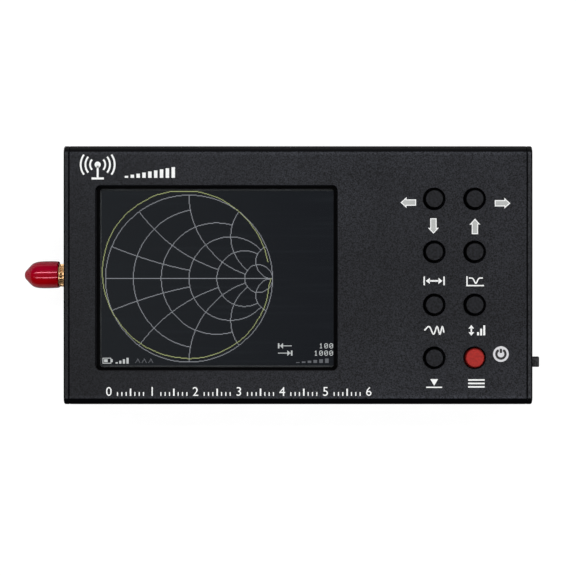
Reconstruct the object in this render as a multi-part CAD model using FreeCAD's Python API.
import FreeCAD, Part
import math
import os

# Handheld one-port vector network analyzer, as an assembly of separate parts, in millimetres.
# The case lies on its rear face: X runs along its length from the RF port to the power switch,
# Y across its width, and Z out of the display face. The origin is the centre of the rear face.

V = FreeCAD.Vector

# ---------------------------------------------------------------- driving dimensions: case
LENGTH = 130.0            # over both end plates
WIDTH = 71.8
DEPTH = 24.0
PLATE_T = 1.5             # end plate thickness
WALL = 2.0                # extruded shell wall
FACE_WIDTH = 68.3         # flat part of the front and of the rear face
EDGE_DROP = 2.2           # height of the rounded long edges
PARTING_Z = 12.0          # seam between the two shells
SEAM_GAP = 0.15
LAP = 0.9                 # depth of the tongue that joins the shells
TONGUE_T = 0.8
END_BREAK = 0.2           # chamfer of the shells' end edges
SEAM_BREAK = 0.15
PLATE_ROUND = 0.45        # rounding of the end plates' outer edges

SHELL_X = LENGTH / 2 - PLATE_T
INNER_Y = WIDTH / 2 - WALL
FACE_INNER_Z = DEPTH - WALL

# ---------------------------------------------------------------- driving dimensions: end screws
SCREW_Y = 31.2
SCREW_INSET_Z = 4.5       # from the front or rear face
SCREW_R = 1.25
SCREW_LENGTH = 8.0
SCREW_HEAD_R = 2.35
BOSS_R = 2.4
BOSS_HOLE_DEPTH = 10.0
RECESS_LONG, RECESS_THIN = 1.3, 0.28  # half sizes of the cross recess
RECESS_DEPTH, RECESS_TAPER = 1.1, 0.55

# ---------------------------------------------------------------- driving dimensions: display
WINDOW_X, WINDOW_Y = -22.6, -0.8      # centre of the window, gasket and touch panel
WINDOW_W, WINDOW_H = 66.85, 51.2
WINDOW_R = 1.4
CUTOUT_BREAK = 0.15                   # chamfer of the window and of the key holes
VIEW_X, VIEW_Y = -22.4, -0.8          # centre of the picture area
VIEW_W, VIEW_H = 64.8, 48.6           # 320 x 240 dots of a 3.2 inch panel
GASKET_T = 0.5
GASKET_W, GASKET_H = 65.0, 49.6       # inner opening of the gasket
GASKET_R = 0.6
TOUCH_W, TOUCH_H, TOUCH_T = 69.2, 54.0, 1.2
LCD_W, LCD_H, LCD_T = 77.6, 55.0, 2.5
LCD_LEFT_BORDER = 2.4                 # picture area to the module's left edge
BEZEL_SHEET = 0.25
GLASS_T = 1.1
FOAM_T = 1.0

TOUCH_TOP_Z = FACE_INNER_Z - GASKET_T
LCD_TOP_Z = TOUCH_TOP_Z - TOUCH_T
LCD_BOTTOM_Z = LCD_TOP_Z - LCD_T
LCD_X0 = VIEW_X - VIEW_W / 2 - LCD_LEFT_BORDER
LCD_X1 = LCD_X0 + LCD_W
LCD_Y0 = VIEW_Y - LCD_H / 2
LCD_Y1 = VIEW_Y + LCD_H / 2

# ---------------------------------------------------------------- driving dimensions: board
BOARD_T = 1.6
BOARD_TOP = LCD_BOTTOM_Z - FOAM_T
BOARD_BOTTOM = BOARD_TOP - BOARD_T
BOARD_X0, BOARD_X1 = -60.4, 62.5
BOARD_HALF_Y = 33.4
RIB_Y = 32.0              # inner edge of the guide ribs
RIB_T = 1.2
RIB_GAP = 0.1

# ---------------------------------------------------------------- driving dimensions: keys
KEY_COLUMNS = (37.7, 48.9)
KEY_TOP_ROW = 21.1
KEY_PITCH = 14.67
KEY_NAMES = (
    ("left_down", "right_up"),
    ("span", "plot"),
    ("frequency", "amplitude"),
    ("marker", "menu_power"),
)
KEY_HOLE_R = 3.0
KEY_R = 2.65
KEY_PROUD = 1.2           # above the front face
KEY_ROUND = 0.42          # rounding of a cap's upper rim
KEY_FLANGE_R = 3.4
KEY_FLANGE_T = 0.7
KEY_TRAVEL = 0.3
TACT_SIDE = 6.0
TACT_BASE_T = 3.1
TACT_COVER_T = 0.3
PLUNGER_R = 1.7
PLUNGER_RISE = 2.4        # above the switch cover
PLUNGER_FOOT_R = 2.1
TACT_WELL_R = 2.3
TACT_FLOOR_T = 0.7
DOME_RISE, DOME_T = 0.25, 0.08

# ---------------------------------------------------------------- driving dimensions: RF port
PORT_Z = BOARD_BOTTOM - 0.4
PORT_TIP_X = -74.5
PORT_R = 3.175            # 1/4-36 thread
PORT_PITCH = 0.7056
THREAD_DEPTH = 0.38
MOUTH_R, MOUTH_DEPTH = 2.3, 1.9
INSULATOR_R = 2.05
CONTACT_R = 0.64
FLANGE_SIDE = 6.4
FLANGE_T = 2.0
COLLAR_R = 3.25
COLLAR_END_X = -67.2
KNURL_X0, KNURL_X1 = -66.85, -66.15
KNURL_RIDGES, KNURL_GROOVE_R = 24, 0.28
LEG_L, LEG_W = 2.9, 1.0   # board legs, beyond the flange
LEG_FRONT_T, LEG_REAR_T = 0.9, 1.1
PIN_R = 0.38
CAP_R = 3.82
CAP_LENGTH = 9.8
CAP_RIM_X = -67.35
CAP_BORE_R = 3.21
CAP_BORE_DEPTH = 7.9

# ---------------------------------------------------------------- driving dimensions: side switch and USB
SLOT_Y = -23.45
SWITCH_TRAVEL = 2.0
SWITCH_Z = 13.4
KNOB_Y, KNOB_Z = 2.5, 1.6
KNOB_TIP_X = 68.33
KNOB_GAP = 0.2            # round the knob in the end plate
USB_GAP = 0.25            # round the USB shell in the end plate
USB_W, USB_H, USB_L = 8.94, 3.26, 7.4
USB_Z = BOARD_BOTTOM - USB_H / 2
LED_Y = 10.5


# ================================================================ small helpers
def block(x0, x1, y0, y1, z0, z1):
    """Rectangular block between two corners."""
    return Part.makeBox(x1 - x0, y1 - y0, z1 - z0, V(x0, y0, z0))


def centred(cx, cy, w, h, z0, z1):
    """Rectangular block centred on (cx, cy)."""
    return block(cx - w / 2, cx + w / 2, cy - h / 2, cy + h / 2, z0, z1)


def centred_yz(x0, x1, cy, cz, w, h):
    """Rectangular block along X, centred on (cy, cz)."""
    return block(x0, x1, cy - w / 2, cy + w / 2, cz - h / 2, cz + h / 2)


def rod_x(x0, x1, y, z, r):
    """Cylinder along X."""
    return Part.makeCylinder(r, x1 - x0, V(x0, y, z), V(1, 0, 0))


def rod_z(x, y, z0, z1, r):
    """Cylinder along Z."""
    return Part.makeCylinder(r, z1 - z0, V(x, y, z0), V(0, 0, 1))


def edges_where(shape, test):
    """Edges whose every vertex passes the test."""
    return [e for e in shape.Edges if all(test(v.Point) for v in e.Vertexes)]


def near(a, b, tol=0.01):
    return abs(a - b) < tol


def rounded(shape, axis, radius):
    """Fillets the four edges of a block that run along the axis (0, 1 or 2)."""
    def along(e):
        d = e.Vertexes[0].Point - e.Vertexes[-1].Point
        return all(near(d[i], 0) for i in range(3) if i != axis)
    return shape.makeFillet(radius, [e for e in shape.Edges if along(e)])


def rectangle_yz(x, cy, cz, half_y, half_z):
    """Rectangular outline in the plane X = x."""
    signs = ((-1, -1), (1, -1), (1, 1), (-1, 1), (-1, -1))
    return Part.makePolygon([V(x, cy + a * half_y, cz + b * half_z) for a, b in signs])


def fused(shapes):
    """One solid from touching shapes."""
    return shapes[0].multiFuse(shapes[1:]).removeSplitter()


def group(shapes):
    """Separate solids kept in one node."""
    return Part.makeCompound(shapes)


def revolve_x(points, z):
    """Solid of revolution about the line through (0, 0, z) along X; points are (x, radius)."""
    wire = Part.makePolygon([V(x, 0, z + r) for x, r in points + points[:1]])
    return Part.Face(wire).revolve(V(0, 0, z), V(1, 0, 0), 360)


def key_positions():
    """(name, x, y) for every key."""
    for row, names in enumerate(KEY_NAMES):
        for column, name in enumerate(names):
            yield name, KEY_COLUMNS[column], KEY_TOP_ROW - row * KEY_PITCH


def screw_positions():
    """(y, z) of the four screws of an end plate."""
    for y in (-SCREW_Y, SCREW_Y):
        for z in (SCREW_INSET_Z, DEPTH - SCREW_INSET_Z):
            yield y, z


# ================================================================ case
def case_outline(x, inset=0.0):
    """Outline of the case's cross-section in the plane X = x, drawn inwards by the inset."""
    step = (WIDTH - FACE_WIDTH) / 2
    corner_r = (EDGE_DROP ** 2 + step ** 2) / (2 * step)
    radius = corner_r - inset
    turn = math.asin((EDGE_DROP - inset) / radius)

    def corner(sy, sz):
        points = []
        for angle in (0, turn / 2, turn):
            y = WIDTH / 2 - corner_r + radius * math.cos(angle)
            z = DEPTH / 2 - EDGE_DROP + radius * math.sin(angle)
            points.append(V(x, sy * y, DEPTH / 2 + sz * z))
        return points

    corners = [corner(1, 1), corner(-1, 1)[::-1], corner(-1, -1), corner(1, -1)[::-1]]
    edges = []
    for here, following in zip(corners, corners[1:] + corners[:1]):
        edges.append(Part.Arc(*here).toShape())
        edges.append(Part.makeLine(here[2], following[0]))
    return Part.Wire(edges)


def case_slab(stations):
    """Solid through case outlines; each station is (x, inset)."""
    return Part.makeLoft([case_outline(x, inset) for x, inset in stations], True, True)


def seam_groove(side):
    """Small V-shaped bar that breaks both edges of the seam on one long side."""
    y = side * WIDTH / 2
    z = PARTING_Z - SEAM_GAP / 2
    half = SEAM_GAP / 2 + SEAM_BREAK
    points = [V(-LENGTH, y, z - half), V(-LENGTH, y - side * half, z), V(-LENGTH, y, z + half)]
    profile = Part.Face(Part.makePolygon(points + points[:1]))
    return profile.extrude(V(2 * LENGTH, 0, 0))


def case_block():
    """The two shells as one solid block, its end edges and seam edges broken."""
    end, in_from_end = SHELL_X, SHELL_X - END_BREAK
    solid = case_slab([(-end, END_BREAK), (-in_from_end, 0), (in_from_end, 0), (end, END_BREAK)])
    return solid.cut(seam_groove(1)).cut(seam_groove(-1))


def screw_bosses(z_side):
    """Corner channels for the end screws, on the front (1) or rear (-1) shell, before drilling."""
    z = DEPTH / 2 + z_side * (DEPTH / 2 - SCREW_INSET_Z)
    z_face = DEPTH / 2 + z_side * (DEPTH / 2 - 1.0)
    made = []
    for s in (-1, 1):
        made.append(rod_x(-SHELL_X, SHELL_X, s * SCREW_Y, z, BOSS_R))
        y0, y1 = sorted((s * SCREW_Y, s * (INNER_Y + 1.0)))
        made.append(block(-SHELL_X, SHELL_X, y0, y1, min(z, z_face), max(z, z_face)))
        made.append(block(-SHELL_X, SHELL_X, y0, y1, z - BOSS_R, z + BOSS_R))
        y0, y1 = sorted((s * (SCREW_Y - BOSS_R), s * SCREW_Y))
        made.append(block(-SHELL_X, SHELL_X, y0, y1, min(z, z_face), max(z, z_face)))
    return made


def drill_bosses(shell, z_side):
    """Cuts the screw holes into both ends of a shell's corner channels."""
    z = DEPTH / 2 + z_side * (DEPTH / 2 - SCREW_INSET_Z)
    for y in (-SCREW_Y, SCREW_Y):
        shell = shell.cut(rod_x(-SHELL_X - 1, -SHELL_X + BOSS_HOLE_DEPTH, y, z, SCREW_R + 0.02))
        shell = shell.cut(rod_x(SHELL_X - BOSS_HOLE_DEPTH, SHELL_X + 1, y, z, SCREW_R + 0.02))
    return shell


def front_shell():
    big = LENGTH
    shell = case_block().common(block(-big, big, -big, big, PARTING_Z, DEPTH))
    window = centred(WINDOW_X, WINDOW_Y, WINDOW_W, WINDOW_H, PARTING_Z - 1, DEPTH + 1)
    shell = shell.cut(rounded(window, 2, WINDOW_R))
    for _, x, y in key_positions():
        shell = shell.cut(rod_z(x, y, PARTING_Z - 1, DEPTH + 1, KEY_HOLE_R))

    def on_cutout(p):
        return near(p.z, DEPTH) and abs(p.x) < SHELL_X - 1 and abs(p.y) < FACE_WIDTH / 2 - 0.5
    shell = shell.makeChamfer(CUTOUT_BREAK, edges_where(shell, on_cutout))
    shell = shell.cut(block(-big, big, -INNER_Y, INNER_Y, 0, FACE_INNER_Z))
    added = screw_bosses(1)
    for s in (-1, 1):
        y0, y1 = sorted((s * RIB_Y, s * (INNER_Y + 0.5)))
        for z in (BOARD_BOTTOM - RIB_GAP - RIB_T, BOARD_TOP + RIB_GAP):
            added.append(block(-SHELL_X, SHELL_X, y0, y1, z, z + RIB_T))
        y0, y1 = sorted((s * INNER_Y, s * (INNER_Y + TONGUE_T)))
        added.append(block(-SHELL_X, SHELL_X, y0, y1, PARTING_Z - LAP, PARTING_Z + 0.5))
    shell = fused([shell] + added)
    return drill_bosses(shell, 1)


def rear_shell():
    big = LENGTH
    top = PARTING_Z - SEAM_GAP
    shell = case_block().common(block(-big, big, -big, big, 0, top))
    shell = shell.cut(block(-big, big, -INNER_Y, INNER_Y, WALL, DEPTH))
    rebate = INNER_Y + TONGUE_T + 0.1
    shell = shell.cut(block(-big, big, -rebate, rebate, PARTING_Z - LAP - SEAM_GAP, DEPTH))
    shell = fused([shell] + screw_bosses(-1))
    return drill_bosses(shell, -1)


def end_plate(side):
    """Flat end plate, its outer rim rounded, with four countersunk screw holes."""
    inner, outer = side * SHELL_X, side * LENGTH / 2
    stations = [(inner, SEAM_BREAK), (inner + side * SEAM_BREAK, 0)]
    for step in range(4):
        angle = math.radians(30 * step)
        x = outer - side * PLATE_ROUND * (1 - math.sin(angle))
        stations.append((x, PLATE_ROUND * (1 - math.cos(angle))))
    plate = case_slab(stations)
    depth = SCREW_HEAD_R - SCREW_R + 0.1
    for y, z in screw_positions():
        x0, x1 = sorted((inner - side, outer + side))
        plate = plate.cut(rod_x(x0, x1, y, z, SCREW_R + 0.1))
        sink = Part.makeCone(SCREW_HEAD_R + 0.1, SCREW_R, depth, V(outer, y, z), V(-side, 0, 0))
        plate = plate.cut(sink)
    return plate


def left_end_plate():
    hole = rod_x(-LENGTH / 2 - 1, -SHELL_X + 1, 0, PORT_Z, COLLAR_R + 0.15)
    return end_plate(-1).cut(hole)


def right_end_plate():
    x0, x1 = SHELL_X - 1, LENGTH / 2 + 1
    plate = end_plate(1)
    usb = centred_yz(x0, x1, 0, USB_Z, USB_W + 2 * USB_GAP, USB_H + 2 * USB_GAP)
    plate = plate.cut(rounded(usb, 0, USB_H / 2 + USB_GAP - 0.05))
    slot_w = KNOB_Y + SWITCH_TRAVEL + 2 * KNOB_GAP
    slot = centred_yz(x0, x1, SLOT_Y, SWITCH_Z, slot_w, KNOB_Z + 2 * KNOB_GAP)
    plate = plate.cut(rounded(slot, 0, 0.4))
    return plate.cut(rod_x(x0, x1, LED_Y, BOARD_BOTTOM - 0.6, 0.8))


def end_screw(side, y, z):
    """Countersunk screw with a cross recess, its head just below the plate's outer face."""
    face = side * (LENGTH / 2 - 0.05)
    cone_h = SCREW_HEAD_R - SCREW_R
    head = Part.makeCone(SCREW_HEAD_R, SCREW_R, cone_h, V(face, y, z), V(-side, 0, 0))
    shank = Part.makeCylinder(SCREW_R, SCREW_LENGTH - 0.4, V(face, y, z), V(-side, 0, 0))
    tip_x = face - side * (SCREW_LENGTH - 0.4)
    tip = Part.makeCone(SCREW_R, SCREW_R - 0.4, 0.4, V(tip_x, y, z), V(-side, 0, 0))
    screw = fused([head, shank, tip])
    for half_y, half_z in ((RECESS_LONG, RECESS_THIN), (RECESS_THIN, RECESS_LONG)):
        mouth = rectangle_yz(face, y, z, half_y, half_z)
        floor_x = face - side * RECESS_DEPTH
        floor = rectangle_yz(floor_x, y, z, half_y * RECESS_TAPER, half_z * RECESS_TAPER)
        screw = screw.cut(Part.makeLoft([mouth, floor], True))
    return screw


def end_screws(side):
    return group([end_screw(side, y, z) for y, z in screw_positions()])


# ================================================================ display
def window_gasket():
    outer = centred(WINDOW_X, WINDOW_Y, TOUCH_W - 0.4, TOUCH_H - 0.4, TOUCH_TOP_Z, FACE_INNER_Z)
    inner = centred(WINDOW_X, WINDOW_Y, GASKET_W, GASKET_H, TOUCH_TOP_Z - 1, FACE_INNER_Z + 1)
    return rounded(outer, 2, 1.0).cut(rounded(inner, 2, GASKET_R))


def touch_panel():
    glass = centred(WINDOW_X, WINDOW_Y, TOUCH_W, TOUCH_H, LCD_TOP_Z, TOUCH_TOP_Z)
    return rounded(glass, 2, 0.5)


def smooth_curve(points, leaving):
    """Curve through the points that starts along +X and ends along the leaving direction."""
    curve = Part.BSplineCurve()
    curve.interpolate(Points=points, InitialTangent=V(1, 0, 0), FinalTangent=leaving)
    return curve


def ribbon(points, thickness, y0, y1):
    """Flexible flat cable: a smooth line through (x, z) points, given a thickness and a width in Y."""
    upper = smooth_curve([V(x, y0, z + thickness / 2) for x, z in points], V(1, 0, 0))
    lower = smooth_curve([V(x, y0, z - thickness / 2) for x, z in points], V(1, 0, 0))
    (xa, za), (xb, zb) = points[0], points[-1]
    half = V(0, 0, thickness / 2)
    ends = [Part.makeLine(end - half, end + half) for end in (V(xa, y0, za), V(xb, y0, zb))]
    wire = Part.Wire(Part.__sortEdges__([upper.toShape(), lower.toShape()] + ends))
    return Part.Face(wire).extrude(V(0, y1 - y0, 0))


TOUCH_FLEX_Y, TOUCH_FLEX_W, TOUCH_FLEX_T = 19.0, 7.0, 0.15
LCD_FLEX_Y, LCD_FLEX_W, LCD_FLEX_T = -4.0, 28.0, 0.2
CONNECTOR_X = 24.6
CONNECTOR_H = 1.5


def touch_flex():
    x = WINDOW_X + TOUCH_W / 2
    z = LCD_TOP_Z + 0.45
    path = [(x, z), (x + 4.5, z), (LCD_X1 - 0.4, z - 0.05), (LCD_X1 + 1.2, z - 0.6)]
    path += [(LCD_X1 + 1.9, BOARD_TOP + 1.9), (LCD_X1 + 3.0, BOARD_TOP + 0.8)]
    path += [(CONNECTOR_X, BOARD_TOP + 0.72), (CONNECTOR_X + 2.0, BOARD_TOP + 0.72)]
    return ribbon(path, TOUCH_FLEX_T, TOUCH_FLEX_Y - TOUCH_FLEX_W / 2, TOUCH_FLEX_Y + TOUCH_FLEX_W / 2)


def lcd_flex():
    z = LCD_BOTTOM_Z + 0.7
    path = [(LCD_X1 - 1.6, z), (LCD_X1 + 1.0, z), (LCD_X1 + 3.0, BOARD_TOP + 1.0)]
    path += [(CONNECTOR_X + 1.0, BOARD_TOP + 0.72), (CONNECTOR_X + 3.2, BOARD_TOP + 0.7)]
    return ribbon(path, LCD_FLEX_T, LCD_FLEX_Y - LCD_FLEX_W / 2, LCD_FLEX_Y + LCD_FLEX_W / 2)


def flex_connectors():
    """The two surface-mount sockets that take the display and touch cables."""
    made = []
    for y, w, depth in ((LCD_FLEX_Y, LCD_FLEX_W + 4, 5.0), (TOUCH_FLEX_Y, TOUCH_FLEX_W + 3, 4.0)):
        body = block(CONNECTOR_X, CONNECTOR_X + depth, y - w / 2, y + w / 2,
                     BOARD_TOP, BOARD_TOP + CONNECTOR_H)
        gap = block(CONNECTOR_X - 1, CONNECTOR_X + depth - 1, y - w / 2 + 1.5, y + w / 2 - 1.5,
                    BOARD_TOP + 0.5, BOARD_TOP + 0.95)
        made.append(body.cut(gap))
    return group(made)


def lcd_bezel():
    """Folded steel frame round the display module, open behind, with the picture opening in front."""
    outer = block(LCD_X0, LCD_X1, LCD_Y0, LCD_Y1, LCD_BOTTOM_Z, LCD_TOP_Z)
    s = BEZEL_SHEET
    inner = block(LCD_X0 + s, LCD_X1 - s, LCD_Y0 + s, LCD_Y1 - s, LCD_BOTTOM_Z - 1, LCD_TOP_Z - s)
    view = centred(VIEW_X, VIEW_Y, VIEW_W + 0.1, VIEW_H + 0.1, LCD_BOTTOM_Z - 1, LCD_TOP_Z + 1)
    flex = centred(LCD_X1, LCD_FLEX_Y, 2, LCD_FLEX_W + 1, LCD_BOTTOM_Z - 1, LCD_BOTTOM_Z + 1.05)
    return rounded(outer, 2, 0.6).cut(inner).cut(view).cut(flex)


def inside_bezel(z0, z1):
    s = BEZEL_SHEET + 0.05
    return block(LCD_X0 + s, LCD_X1 - s, LCD_Y0 + s, LCD_Y1 - s, z0, z1)


def lcd_glass():
    top = LCD_TOP_Z - BEZEL_SHEET
    return inside_bezel(top - GLASS_T, top)


def lcd_backlight():
    top = LCD_TOP_Z - BEZEL_SHEET - GLASS_T
    notch = centred(LCD_X1, LCD_FLEX_Y, 3.6, LCD_FLEX_W + 1, LCD_BOTTOM_Z - 1, top + 1)
    return inside_bezel(LCD_BOTTOM_Z, top).cut(notch)


def lcd_foam_tape():
    """Double-sided foam that holds the display module on the board: two long strips."""
    strips = []
    for y in (LCD_Y0 + 6.0, LCD_Y1 - 6.0):
        strips.append(block(LCD_X0 + 4, LCD_X1 - 6, y - 4, y + 4, BOARD_TOP, LCD_BOTTOM_Z))
    return group(strips)


# ================================================================ board and its parts
def main_board():
    board = block(BOARD_X0, BOARD_X1, -BOARD_HALF_Y, BOARD_HALF_Y, BOARD_BOTTOM, BOARD_TOP)
    return rounded(board, 2, 1.0)


SHIELD = (-56.0, -14.0, -17.0, 17.0)
SHIELD_SHEET = 0.25
SHIELD_H = 2.6


def rf_shield_fence():
    """Soldered sheet-metal wall round the RF circuits, with one cross wall."""
    x0, x1, y0, y1 = SHIELD
    s = SHIELD_SHEET
    low = BOARD_BOTTOM - SHIELD_H + s
    fence = block(x0, x1, y0, y1, low, BOARD_BOTTOM)
    for a, b in ((x0 + s, x0 + 17), (x0 + 17 + s, x1 - s)):
        fence = fence.cut(block(a, b, y0 + s, y1 - s, low - 1, BOARD_BOTTOM + 1))
    return fence


def rf_shield_lid():
    """Snap-on lid: a shallow tray that closes the fence from behind."""
    x0, x1, y0, y1 = SHIELD
    s, gap = SHIELD_SHEET, 0.03
    low = BOARD_BOTTOM - SHIELD_H
    outer = block(x0 - s - gap, x1 + s + gap, y0 - s - gap, y1 + s + gap, low, BOARD_BOTTOM - 0.6)
    inner = block(x0 - gap, x1 + gap, y0 - gap, y1 + gap, low + s, BOARD_BOTTOM)
    lid = rounded(outer, 2, 0.4).cut(inner)
    for i in range(5):
        for j in range(4):
            x = x0 + 5 + i * (x1 - x0 - 10) / 4
            y = y0 + 5 + j * (y1 - y0 - 10) / 3
            lid = lid.cut(rod_z(x, y, low - 1, low + 1, 0.6))
    return lid


CHIPS = ((-48.0, 0.0, 3.0), (-30.0, 6.0, 5.0), (-30.0, -7.0, 4.0), (-20.0, 0.0, 4.0))  # x, y, side
CHIP_T = 0.85


def rf_chips():
    """Synthesiser, mixer and switch packages under the shield."""
    return group([centred(x, y, side, side, BOARD_BOTTOM - CHIP_T, BOARD_BOTTOM) for x, y, side in CHIPS])


MCU = (4.0, -6.0, 10.0)   # centre and side of the square package
LEAD_W, LEAD_PITCH, LEADS_PER_SIDE = 0.22, 0.5, 16
OSCILLATOR = (4.0, 6.5, 5.0, 3.2, 1.5)    # centre, width, height and thickness
INDUCTOR = (38.0, -17.0, 6.0, 2.8)        # centre, side and thickness


def microcontroller():
    x, y, side = MCU
    body = centred(x, y, side, side, BOARD_BOTTOM - 1.5, BOARD_BOTTOM - 0.1)
    dot = rod_z(x - side / 2 + 1.4, y - side / 2 + 1.4, BOARD_BOTTOM - 2, BOARD_BOTTOM - 1.4, 0.5)
    return body.cut(dot)


def microcontroller_leads():
    """Gull-wing leads of the quad flat package, sixteen on each side."""
    x, y, side = MCU
    made = []
    for n in range(LEADS_PER_SIDE):
        offset = (n - (LEADS_PER_SIDE - 1) / 2) * LEAD_PITCH
        for turn in range(4):
            lead = centred(side / 2 + 0.5, offset, 1.0, LEAD_W, BOARD_BOTTOM - 0.15, BOARD_BOTTOM)
            knee = centred(side / 2 + 0.15, offset, 0.3, LEAD_W, BOARD_BOTTOM - 0.8, BOARD_BOTTOM)
            lead = lead.fuse(knee).removeSplitter()
            lead.rotate(V(0, 0, 0), V(0, 0, 1), 90 * turn)
            lead.translate(V(x, y, 0))
            made.append(lead)
    return group(made)


def reference_oscillator():
    x, y, w, h, thick = OSCILLATOR
    return rounded(centred(x, y, w, h, BOARD_BOTTOM - thick, BOARD_BOTTOM), 2, 0.5)


def power_inductor():
    x, y, side, thick = INDUCTOR
    return rounded(centred(x, y, side, side, BOARD_BOTTOM - thick, BOARD_BOTTOM), 2, 1.2)


def board_passives():
    """Small chip capacitors and resistors."""
    made = []
    for n in range(6):
        made.append(centred(-9.0 + 3.6 * n, 12.5, 1.6, 0.8, BOARD_BOTTOM - 0.8, BOARD_BOTTOM))
        made.append(centred(-8.0 + 3.6 * n, -18.0, 1.6, 0.8, BOARD_BOTTOM - 0.6, BOARD_BOTTOM))
    for n in range(4):
        made.append(centred(46.0, -21.0 + 3.4 * n, 2.0, 1.25, BOARD_BOTTOM - 1.2, BOARD_BOTTOM))
    return group(made)


# ================================================================ keys
COVER_Z = BOARD_TOP + TACT_BASE_T
COVER_TOP = COVER_Z + TACT_COVER_T


def tact_bases():
    """Moulded bases of the eight tact switches, each with a round well for its plunger."""
    made = []
    for _, x, y in key_positions():
        base = centred(x, y, TACT_SIDE, TACT_SIDE, BOARD_TOP, COVER_Z)
        well = rod_z(x, y, BOARD_TOP + TACT_FLOOR_T, COVER_Z + 1, TACT_WELL_R)
        made.append(rounded(base, 2, 0.4).cut(well))
    return group(made)


def tact_covers():
    made = []
    for _, x, y in key_positions():
        cover = centred(x, y, TACT_SIDE, TACT_SIDE, COVER_Z, COVER_TOP)
        cover = rounded(cover, 2, 0.4).cut(rod_z(x, y, COVER_Z - 1, COVER_TOP + 1, PLUNGER_R + 0.1))
        for sx in (-1, 1):
            for sy in (-1, 1):
                cover = cover.fuse(rod_z(x + 2.3 * sx, y + 2.3 * sy, COVER_TOP, COVER_TOP + 0.12, 0.35))
        made.append(cover.removeSplitter())
    return group(made)


def tact_domes():
    """Snap domes in the floor of each well, drawn pressed flat so that the plunger has its travel."""
    made = []
    floor = BOARD_TOP + TACT_FLOOR_T
    rim = TACT_WELL_R - 0.15
    sphere_r = (rim ** 2 + DOME_RISE ** 2) / (2 * DOME_RISE)
    for _, x, y in key_positions():
        centre = V(x, y, floor + DOME_RISE - sphere_r)
        cap = Part.makeSphere(sphere_r, centre).cut(Part.makeSphere(sphere_r - DOME_T, centre))
        made.append(cap.common(rod_z(x, y, floor, floor + 1, rim)))
    return group(made)


def plunger(x, y):
    foot_z = BOARD_TOP + TACT_FLOOR_T + DOME_RISE + KEY_TRAVEL + 0.1
    foot = rod_z(x, y, foot_z, COVER_Z - 0.05, PLUNGER_FOOT_R)
    stem = rod_z(x, y, foot_z, COVER_TOP + PLUNGER_RISE, PLUNGER_R)
    return foot.fuse(stem).removeSplitter()


def key_cap(x, y):
    """Round cap with a retaining flange below the front face and a socket pressed on the plunger."""
    bottom = COVER_TOP + KEY_TRAVEL + 0.35
    top = DEPTH + KEY_PROUD
    cap = rod_z(x, y, bottom, top, KEY_R)
    cap = cap.makeFillet(KEY_ROUND, edges_where(cap, lambda p: near(p.z, top)))
    flange = rod_z(x, y, bottom, bottom + KEY_FLANGE_T, KEY_FLANGE_R)
    socket = rod_z(x, y, bottom - 1, COVER_TOP + PLUNGER_RISE, PLUNGER_R)
    return cap.fuse(flange).cut(socket).removeSplitter()


# ================================================================ RF port and its dust cap
def sma_jack():
    """Gold-plated jack: threaded barrel, knurled collar, square flange and four board legs."""
    r, low = PORT_R, PORT_R - THREAD_DEPTH
    outline = [(PORT_TIP_X, MOUTH_R), (PORT_TIP_X, low)]
    x = PORT_TIP_X + THREAD_DEPTH
    while x + PORT_PITCH < COLLAR_END_X - 0.3:
        outline += [(x, r), (x + 0.12 * PORT_PITCH, r)]
        outline += [(x + 0.5 * PORT_PITCH, low), (x + 0.62 * PORT_PITCH, low)]
        x += PORT_PITCH
    flange_x = BOARD_X0 - FLANGE_T
    outline += [(x, low), (COLLAR_END_X, low), (COLLAR_END_X + 0.15, COLLAR_R)]
    outline += [(flange_x + 0.5, COLLAR_R), (flange_x + 0.5, INSULATOR_R)]
    outline += [(PORT_TIP_X + MOUTH_DEPTH, INSULATOR_R), (PORT_TIP_X + MOUTH_DEPTH, MOUTH_R)]
    barrel = revolve_x(outline, PORT_Z)
    for n in range(KNURL_RIDGES):
        groove = rod_x(KNURL_X0, KNURL_X1, 0, PORT_Z + COLLAR_R, KNURL_GROOVE_R)
        groove.rotate(V(0, 0, PORT_Z), V(1, 0, 0), 360.0 / KNURL_RIDGES * n)
        barrel = barrel.cut(groove)
    half = FLANGE_SIDE / 2
    flange = block(flange_x, BOARD_X0, -half, half, PORT_Z - half, PORT_Z + half)
    flange = rounded(flange, 0, 0.4).cut(rod_x(flange_x - 1, BOARD_X0 + 1, 0, PORT_Z, INSULATOR_R))
    legs = []
    for s in (-1, 1):
        y0, y1 = sorted((s * (half - LEG_W), s * half))
        x0, x1 = BOARD_X0 - 0.3, BOARD_X0 + LEG_L
        legs.append(block(x0, x1, y0, y1, BOARD_TOP, BOARD_TOP + LEG_FRONT_T))
        legs.append(block(x0, x1, y0, y1, BOARD_BOTTOM - LEG_REAR_T, BOARD_BOTTOM))
    return fused([barrel, flange] + legs)


def sma_insulator():
    tube = rod_x(PORT_TIP_X + MOUTH_DEPTH, BOARD_X0, 0, PORT_Z, INSULATOR_R)
    return tube.cut(rod_x(PORT_TIP_X, BOARD_X0 + 1, 0, PORT_Z, CONTACT_R))


def sma_center_contact():
    """Centre contact: a slotted socket at the mouth and a pin that lies on the board's rear side."""
    body = rod_x(PORT_TIP_X + MOUTH_DEPTH, BOARD_X0 - 0.2, 0, PORT_Z, CONTACT_R)
    pin = rod_x(BOARD_X0 - 0.3, BOARD_X0 + LEG_L, 0, PORT_Z, PIN_R)
    bore = rod_x(PORT_TIP_X, PORT_TIP_X + 4.8, 0, PORT_Z, 0.46)
    slot = block(PORT_TIP_X, PORT_TIP_X + 4.0, -0.08, 0.08, PORT_Z - 1, PORT_Z + 1)
    return body.fuse(pin).removeSplitter().cut(bore).cut(slot)


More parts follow.
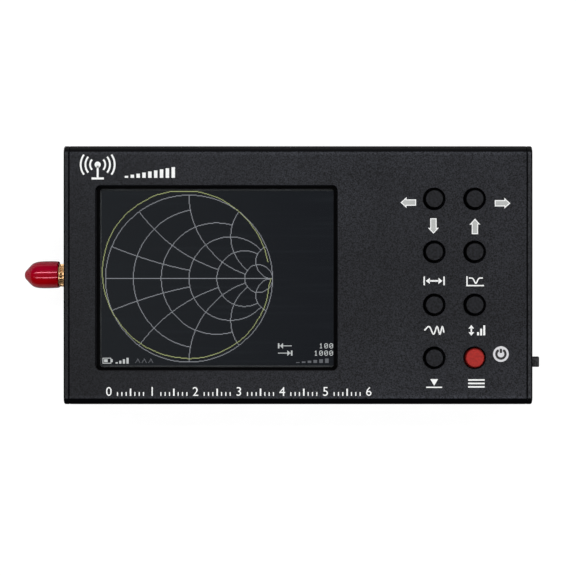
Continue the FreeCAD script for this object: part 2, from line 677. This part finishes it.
def dust_cap():
    """Soft vinyl push-on cap: blunt conical nose, thin wall and a closed end."""
    rim, tip = CAP_RIM_X, CAP_RIM_X - CAP_LENGTH

    def at(x, r):
        return V(x, 0, PORT_Z + r)
    nose_end = (tip + 0.6, 1.42)
    shoulder = (tip + 2.05, 2.96)
    full = (tip + 5.2, CAP_R)
    edges = [
        Part.Arc(at(tip, 0), at(tip + 0.16, 0.8), at(*nose_end)).toShape(),
        Part.makeLine(at(*nose_end), at(*shoulder)),
        Part.Arc(at(*shoulder), at(tip + 3.3, 3.58), at(*full)).toShape(),
        Part.makeLine(at(*full), at(rim, CAP_R)),
        Part.makeLine(at(rim, CAP_R), at(rim, CAP_BORE_R)),
        Part.makeLine(at(rim, CAP_BORE_R), at(rim - CAP_BORE_DEPTH + 0.9, CAP_BORE_R)),
        Part.makeLine(at(rim - CAP_BORE_DEPTH + 0.9, CAP_BORE_R), at(rim - CAP_BORE_DEPTH, 1.9)),
        Part.makeLine(at(rim - CAP_BORE_DEPTH, 1.9), at(rim - CAP_BORE_DEPTH, 0)),
        Part.makeLine(at(rim - CAP_BORE_DEPTH, 0), at(tip, 0)),
    ]
    face = Part.Face(Part.Wire(edges))
    return face.revolve(V(0, 0, PORT_Z), V(1, 0, 0), 360)


# ================================================================ side switch, USB port and charge light
SWITCH_FRONT_X = 62.7
SWITCH_BACK_X = 58.7
SWITCH_HALF_Y = 4.3
SWITCH_H = 3.6
SWITCH_SHEET = 0.3


def slide_switch_base():
    """Moulded back of the slide switch."""
    return block(SWITCH_BACK_X, SWITCH_BACK_X + 1.5, SLOT_Y - SWITCH_HALF_Y, SLOT_Y + SWITCH_HALF_Y,
                 BOARD_BOTTOM - SWITCH_H + 0.1, BOARD_BOTTOM)


def slide_switch_shell():
    """Metal cover round the slider, slotted in front for the knob."""
    z0 = BOARD_BOTTOM - SWITCH_H
    y0, y1 = SLOT_Y - SWITCH_HALF_Y, SLOT_Y + SWITCH_HALF_Y
    outer = block(SWITCH_BACK_X + 1.5, SWITCH_FRONT_X, y0, y1, z0, BOARD_BOTTOM)
    s = SWITCH_SHEET
    inner = block(SWITCH_BACK_X + 1, SWITCH_FRONT_X - s, y0 + s, y1 - s, z0 + s, BOARD_BOTTOM - s)
    slot_w = KNOB_Y + SWITCH_TRAVEL + 0.2
    slot = centred_yz(SWITCH_FRONT_X - 1, SWITCH_FRONT_X + 1, SLOT_Y, SWITCH_Z, slot_w, KNOB_Z + 0.2)
    return outer.cut(inner).cut(slot)


def power_switch_knob():
    """Slider and knob, at the end of the slot nearer the case's lower edge."""
    y = SLOT_Y - SWITCH_TRAVEL / 2
    slider = block(SWITCH_BACK_X + 1.6, SWITCH_FRONT_X - 0.4, y - 2.6, y + 2.6,
                   BOARD_BOTTOM - SWITCH_H + 0.4, BOARD_BOTTOM - 0.4)
    knob = block(SWITCH_FRONT_X - 1, KNOB_TIP_X, y - KNOB_Y / 2, y + KNOB_Y / 2,
                 SWITCH_Z - KNOB_Z / 2, SWITCH_Z + KNOB_Z / 2)
    knob = rounded(knob, 0, 0.15)
    knob = knob.makeChamfer(0.12, edges_where(knob, lambda p: near(p.x, KNOB_TIP_X)))
    return slider.fuse(knob).removeSplitter()


USB_X0 = 56.5


def usb_profile(x0, x1, inset):
    """Stadium-shaped bar along X, smaller than the USB shell by the inset."""
    w, h = USB_W - 2 * inset, USB_H - 2 * inset
    return rounded(centred_yz(x0, x1, 0, USB_Z, w, h), 0, h / 2 - 0.05)


def usb_shell():
    return usb_profile(USB_X0, USB_X0 + USB_L, 0).cut(usb_profile(USB_X0 + 0.3, USB_X0 + USB_L + 1, 0.3))


def usb_tongue():
    """Moulded insert: a block in the back of the shell and the tongue that carries the contacts."""
    back = usb_profile(USB_X0 + 0.35, USB_X0 + 2.2, 0.35)
    tongue = centred_yz(USB_X0 + 2.0, USB_X0 + 6.7, 0, USB_Z, 6.7, 0.7)
    return back.fuse(tongue).removeSplitter()


LED_L, LED_W, LED_T = 1.5, 1.6, 1.1


def charge_led():
    x = BOARD_X1 - LED_L / 2 - 0.1
    return centred(x, LED_Y, LED_L, LED_W, BOARD_BOTTOM - LED_T, BOARD_BOTTOM)


# ================================================================ battery
BATTERY = (-25.0, 35.0, -25.0, 25.0)
PAD_T = 0.5
BATTERY_T = 6.0
BATTERY_Z = WALL + PAD_T
LEAD_R = 0.6
LEAD_SPACING = 2.2
PROTECTION_T = 1.2
SOCKET_X0, SOCKET_X1 = 41.0, 48.6
SOCKET_Y = 14.0
SOCKET_W, SOCKET_H = 7.8, 4.8
SOCKET_WALL = 0.9
SOCKET_Z = BOARD_BOTTOM - SOCKET_H / 2
PLUG_X0, PLUG_X1 = 43.6, 52.0
PLUG_W, PLUG_H = 5.8, 3.0
PAD_W, PAD_L = 10.0, 40.0
PAD_X = (-13.0, 23.0)


def battery_pads():
    """Foam strips that bed the cell on the rear shell."""
    return group([centred(x, 0, PAD_W, PAD_L, WALL, BATTERY_Z) for x in PAD_X])


def battery_cell():
    x0, x1, y0, y1 = BATTERY
    cell = block(x0, x1, y0, y1, BATTERY_Z, BATTERY_Z + BATTERY_T)
    return rounded(rounded(cell, 2, 2.0), 0, 1.5)


def battery_protection_board():
    x0, x1, y0, y1 = BATTERY
    return block(x1, x1 + PROTECTION_T, y0 + 3, y1 - 3, BATTERY_Z + 1, BATTERY_Z + BATTERY_T - 1)


def battery_lead(y):
    """Insulated lead from the protection board, looping up and back into the plug."""
    x0, turn_x = BATTERY[1] + PROTECTION_T, PLUG_X1 + 1.0
    z0 = BATTERY_Z + BATTERY_T / 2
    lower = rod_x(x0, turn_x, y, z0, LEAD_R)
    upper = rod_x(PLUG_X1, turn_x, y, SOCKET_Z, LEAD_R)
    section = Part.Face(Part.Wire(Part.makeCircle(LEAD_R, V(turn_x, y, z0), V(1, 0, 0))))
    bend = section.revolve(V(turn_x, y, (z0 + SOCKET_Z) / 2), V(0, -1, 0), 180)
    return fused([lower, bend, upper])


def battery_socket():
    body = centred_yz(SOCKET_X0, SOCKET_X1, SOCKET_Y, SOCKET_Z, SOCKET_W, SOCKET_H)
    cavity_w, cavity_h = SOCKET_W - 2 * SOCKET_WALL, PLUG_H + 0.2
    return body.cut(centred_yz(SOCKET_X0 + 2, SOCKET_X1 + 1, SOCKET_Y, SOCKET_Z, cavity_w, cavity_h))


def battery_plug():
    body = centred_yz(PLUG_X0, PLUG_X1, SOCKET_Y, SOCKET_Z, PLUG_W, PLUG_H)
    return body.makeChamfer(0.3, edges_where(body, lambda p: near(p.x, PLUG_X1)))


# ================================================================ export
def parts():
    """Every node's name and shape."""
    made = {
        "front_shell": front_shell(),
        "rear_shell": rear_shell(),
        "left_end_plate": left_end_plate(),
        "right_end_plate": right_end_plate(),
        "left_end_screws": end_screws(-1),
        "right_end_screws": end_screws(1),
        "window_gasket": window_gasket(),
        "touch_panel": touch_panel(),
        "touch_flex": touch_flex(),
        "lcd_bezel": lcd_bezel(),
        "lcd_glass": lcd_glass(),
        "lcd_backlight": lcd_backlight(),
        "lcd_flex": lcd_flex(),
        "lcd_foam_tape": lcd_foam_tape(),
        "flex_connectors": flex_connectors(),
        "main_board": main_board(),
        "rf_shield_fence": rf_shield_fence(),
        "rf_shield_lid": rf_shield_lid(),
        "rf_chips": rf_chips(),
        "microcontroller": microcontroller(),
        "microcontroller_leads": microcontroller_leads(),
        "reference_oscillator": reference_oscillator(),
        "power_inductor": power_inductor(),
        "board_passives": board_passives(),
        "tact_bases": tact_bases(),
        "tact_covers": tact_covers(),
        "tact_domes": tact_domes(),
        "sma_jack": sma_jack(),
        "sma_insulator": sma_insulator(),
        "sma_center_contact": sma_center_contact(),
        "dust_cap": dust_cap(),
        "slide_switch_base": slide_switch_base(),
        "slide_switch_shell": slide_switch_shell(),
        "power_switch_knob": power_switch_knob(),
        "usb_shell": usb_shell(),
        "usb_tongue": usb_tongue(),
        "charge_led": charge_led(),
        "battery_cell": battery_cell(),
        "battery_pads": battery_pads(),
        "battery_protection_board": battery_protection_board(),
        "battery_lead_red": battery_lead(SOCKET_Y + LEAD_SPACING / 2),
        "battery_lead_black": battery_lead(SOCKET_Y - LEAD_SPACING / 2),
        "battery_socket": battery_socket(),
        "battery_plug": battery_plug(),
    }
    for name, x, y in key_positions():
        made["key_" + name] = key_cap(x, y)
        made["plunger_" + name] = plunger(x, y)
    return made


os.makedirs("parts", exist_ok=True)
for name, shape in parts().items():
    if not shape.isValid() or shape.Volume <= 0 or not shape.Solids:
        raise ValueError(name + " is not a valid solid")
    shape.exportStep("parts/" + name + ".step")
    print(name, len(shape.Solids), round(shape.Volume, 1))
